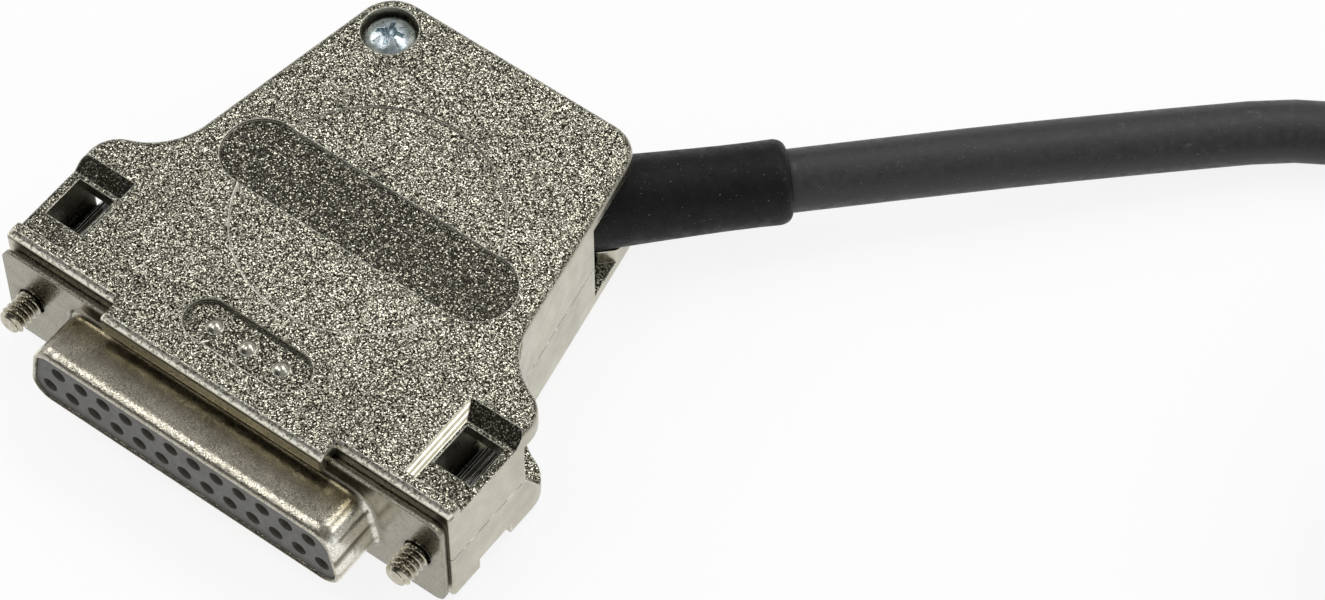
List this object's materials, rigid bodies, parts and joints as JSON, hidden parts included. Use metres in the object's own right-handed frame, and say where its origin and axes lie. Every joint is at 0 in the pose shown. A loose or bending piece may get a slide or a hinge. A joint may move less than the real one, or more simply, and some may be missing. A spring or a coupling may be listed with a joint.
{
  "type": "d-sub hood",
  "caption": "Cast metal hood for a wide D-shaped cable socket, with long jackscrews in side pockets, an angled rear cable exit with a rubber bend relief, and its cable.",
  "frame": {"origin": "middle of the socket's flange front face, midway between the two jackscrews", "axes": "+X along the socket from the left jackscrew to the right one, +Y back into the hood, +Z out of the hood's top face"},
  "size_m": [0.1963, 0.1191, 0.0207],
  "materials": {
    "hood_nickel": "satin nickel plate with a fine grain on zinc casting",
    "shell_tin": "bright tin plate on drawn steel",
    "insulator_grey": "matte moulded",
    "contact_gold": "gold flash",
    "screw_zinc": "blue zinc plate",
    "clamp_steel": "zinc plate",
    "ferrule_brass": "tinned",
    "jackscrew_nickel": "nickel plate",
    "grip_black": "gloss black moulded",
    "relief_rubber": "matte black",
    "cable_jacket": "matte black",
    "tie_black": "matte black",
    "wire_insulation": "coloured wire jackets"
  },
  "bodies": {
    "hood": {"cable": "cable_jacket", "cable_bend_relief": "relief_rubber", "cable_clamp": "clamp_steel", "cable_clamp_screws": "clamp_steel", "cable_coil": "cable_jacket", "cable_end_cores": "wire_insulation", "cable_tie": "tie_black", "closing_screw": "screw_zinc", "connector_front_shell": "shell_tin", "connector_insulator": "insulator_grey", "connector_rear_shell": "shell_tin", "inner_wires": "wire_insulation", "lower_shell": "hood_nickel", "shield_ferrule": "ferrule_brass", "socket_contact_01": "contact_gold", "socket_contact_02": "contact_gold", "socket_contact_03": "contact_gold", "socket_contact_04": "contact_gold", "socket_contact_05": "contact_gold", "socket_contact_06": "contact_gold", "socket_contact_07": "contact_gold", "socket_contact_08": "contact_gold", "socket_contact_09": "contact_gold", "socket_contact_10": "contact_gold", "socket_contact_11": "contact_gold", "socket_contact_12": "contact_gold", "socket_contact_13": "contact_gold", "socket_contact_14": "contact_gold", "socket_contact_15": "contact_gold", "socket_contact_16": "contact_gold", "socket_contact_17": "contact_gold", "socket_contact_18": "contact_gold", "socket_contact_19": "contact_gold", "socket_contact_20": "contact_gold", "socket_contact_21": "contact_gold", "socket_contact_22": "contact_gold", "socket_contact_23": "contact_gold", "socket_contact_24": "contact_gold", "socket_contact_25": "contact_gold", "upper_shell": "hood_nickel"},
    "left_screw": {"left_jackscrew": "jackscrew_nickel", "left_jackscrew_grip": "grip_black"},
    "right_screw": {"right_jackscrew": "jackscrew_nickel", "right_jackscrew_grip": "grip_black"}
  },
  "joints": [
    {"name": "left_screw_turn", "type": "hinge", "parent": "hood", "child": "left_screw", "pos_m": [-0.02352, 0.004, 0], "axis": [0, -1, 0], "continuous": true},
    {"name": "right_screw_turn", "type": "hinge", "parent": "hood", "child": "right_screw", "pos_m": [0.02352, 0.004, 0], "axis": [0, -1, 0], "continuous": true}
  ]
}
